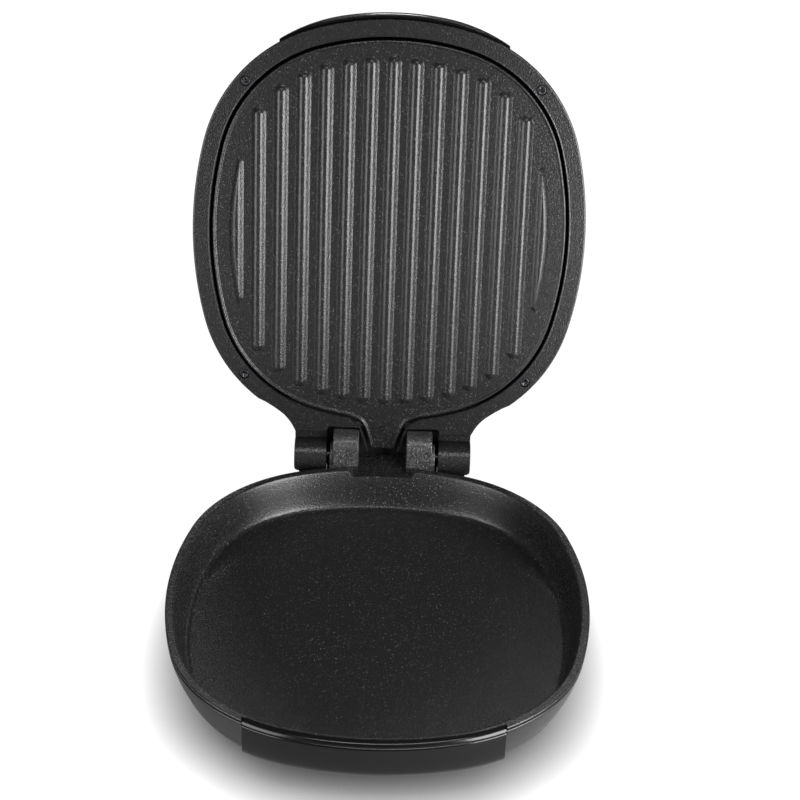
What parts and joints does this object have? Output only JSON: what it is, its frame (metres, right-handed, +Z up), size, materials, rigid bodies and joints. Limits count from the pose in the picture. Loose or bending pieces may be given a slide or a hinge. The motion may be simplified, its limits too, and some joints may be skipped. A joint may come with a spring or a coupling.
{
  "type": "electric baking pan",
  "caption": "Hinged electric baking pan standing open: a deep coated lower pan and a ribbed grill plate in the lid, on a floating hinge.",
  "frame": {"origin": "middle of the footprint of the open object, on the table under the feet", "axes": "+X across the pan to the right, +Y from the front handle towards the hinge, +Z up"},
  "size_m": [0.32, 0.4742, 0.4226],
  "materials": {
    "casing_plastic": "satin heat-proof plastic",
    "handle_plastic": "satin heat-proof plastic",
    "cover_steel": "matt painted sheet steel",
    "foot_rubber": "moulded rubber",
    "screw_steel": "zinc-plated steel",
    "screw_dark": "blackened steel",
    "pan_coating": "non-stick coating with fine light flecks on cast aluminium",
    "plate_coating": "non-stick coating with fine light flecks on cast aluminium",
    "ring_paint": "satin coated casting",
    "element_sheath": "heat-tinted steel tube",
    "thermostat_metal": "drawn metal cup",
    "reflector_sheet": "bright aluminised sheet",
    "terminal_ceramic": "unglazed ceramic",
    "gland_plastic": "moulded nylon",
    "pin_steel": "turned steel",
    "panel_plastic": "gloss plastic",
    "lamp_glass": "tinted clear lens",
    "board_laminate": "phenolic board",
    "button_plastic": "satin plastic"
  },
  "bodies": {
    "base": {"base_casing": "casing_plastic", "base_cover": "cover_steel", "base_feet": "foot_rubber", "cover_screws": "screw_steel", "lower_pan": "pan_coating", "pan_screws": "screw_steel", "lower_element": "element_sheath", "lower_thermostat": "thermostat_metal", "lower_reflector": "reflector_sheet", "thermal_fuse": "thermostat_metal", "terminal_block": "terminal_ceramic", "cord_gland": "gland_plastic", "base_handle": "handle_plastic"},
    "carriage": {"hinge_pins": "pin_steel"},
    "lid": {"lid_ring": "ring_paint", "grill_plate": "plate_coating", "frame_screws": "screw_dark", "lid_shell": "casing_plastic", "upper_element": "element_sheath", "upper_thermostat": "thermostat_metal", "upper_reflector": "reflector_sheet", "lid_handle": "handle_plastic", "lid_handle_screws": "screw_steel", "control_panel": "panel_plastic", "lamp_lenses": "lamp_glass", "switch_board": "board_laminate"},
    "upper_button": {"upper_heat_button": "button_plastic"},
    "lower_button": {"lower_heat_button": "button_plastic"}
  },
  "joints": [
    {"name": "lid_lift", "type": "slide", "parent": "base", "child": "carriage", "axis": [0, 0, 1], "range_m": [0, 0.006]},
    {"name": "lid_hinge", "type": "hinge", "parent": "carriage", "child": "lid", "pos_m": [0, 0.1364, 0.0555], "axis": [1, 0, 0], "range_deg": [0, 99.5]},
    {"name": "upper_button_press", "type": "slide", "parent": "lid", "child": "upper_button", "axis": [0, -0.9863, 0.165], "range_m": [0, 0.0015], "stiffness_N_per_m": 500},
    {"name": "lower_button_press", "type": "slide", "parent": "lid", "child": "lower_button", "axis": [0, -0.9863, 0.165], "range_m": [0, 0.0015], "stiffness_N_per_m": 500}
  ]
}
